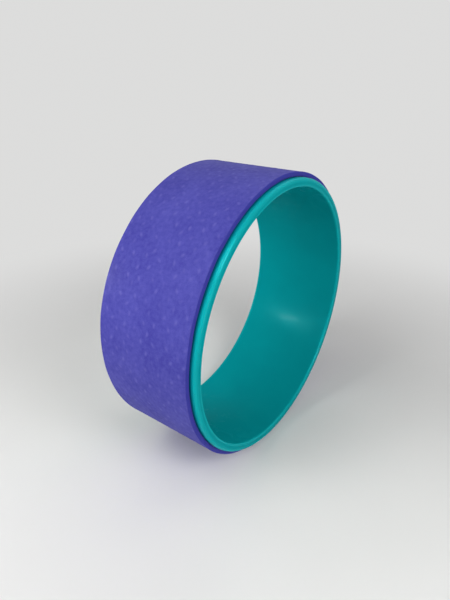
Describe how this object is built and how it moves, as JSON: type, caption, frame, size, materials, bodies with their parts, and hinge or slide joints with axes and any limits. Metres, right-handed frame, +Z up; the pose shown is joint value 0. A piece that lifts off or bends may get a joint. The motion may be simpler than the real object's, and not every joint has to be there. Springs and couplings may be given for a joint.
{
  "type": "yoga wheel",
  "caption": "Upright yoga wheel: a wide rigid plastic hoop with an open bore and rounded rims, with a thin grippy foam pad bonded round its tread.",
  "frame": {"origin": "middle of the flat patch under the tread, on the floor that the wheel stands on", "axes": "+Y along the axle line, from one rim to the other; +Z up through the middle of the bore; +X to the right seen from the -Y rim"},
  "size_m": [0.33, 0.127, 0.3295],
  "materials": {
    "hoop_plastic": "gloss",
    "pad_foam": "matte",
    "adhesive": "satin"
  },
  "bodies": {
    "root": {"hoop": "hoop_plastic", "bonding_film": "adhesive", "pad": "pad_foam", "seam_bead": "adhesive"}
  },
  "joints": []
}
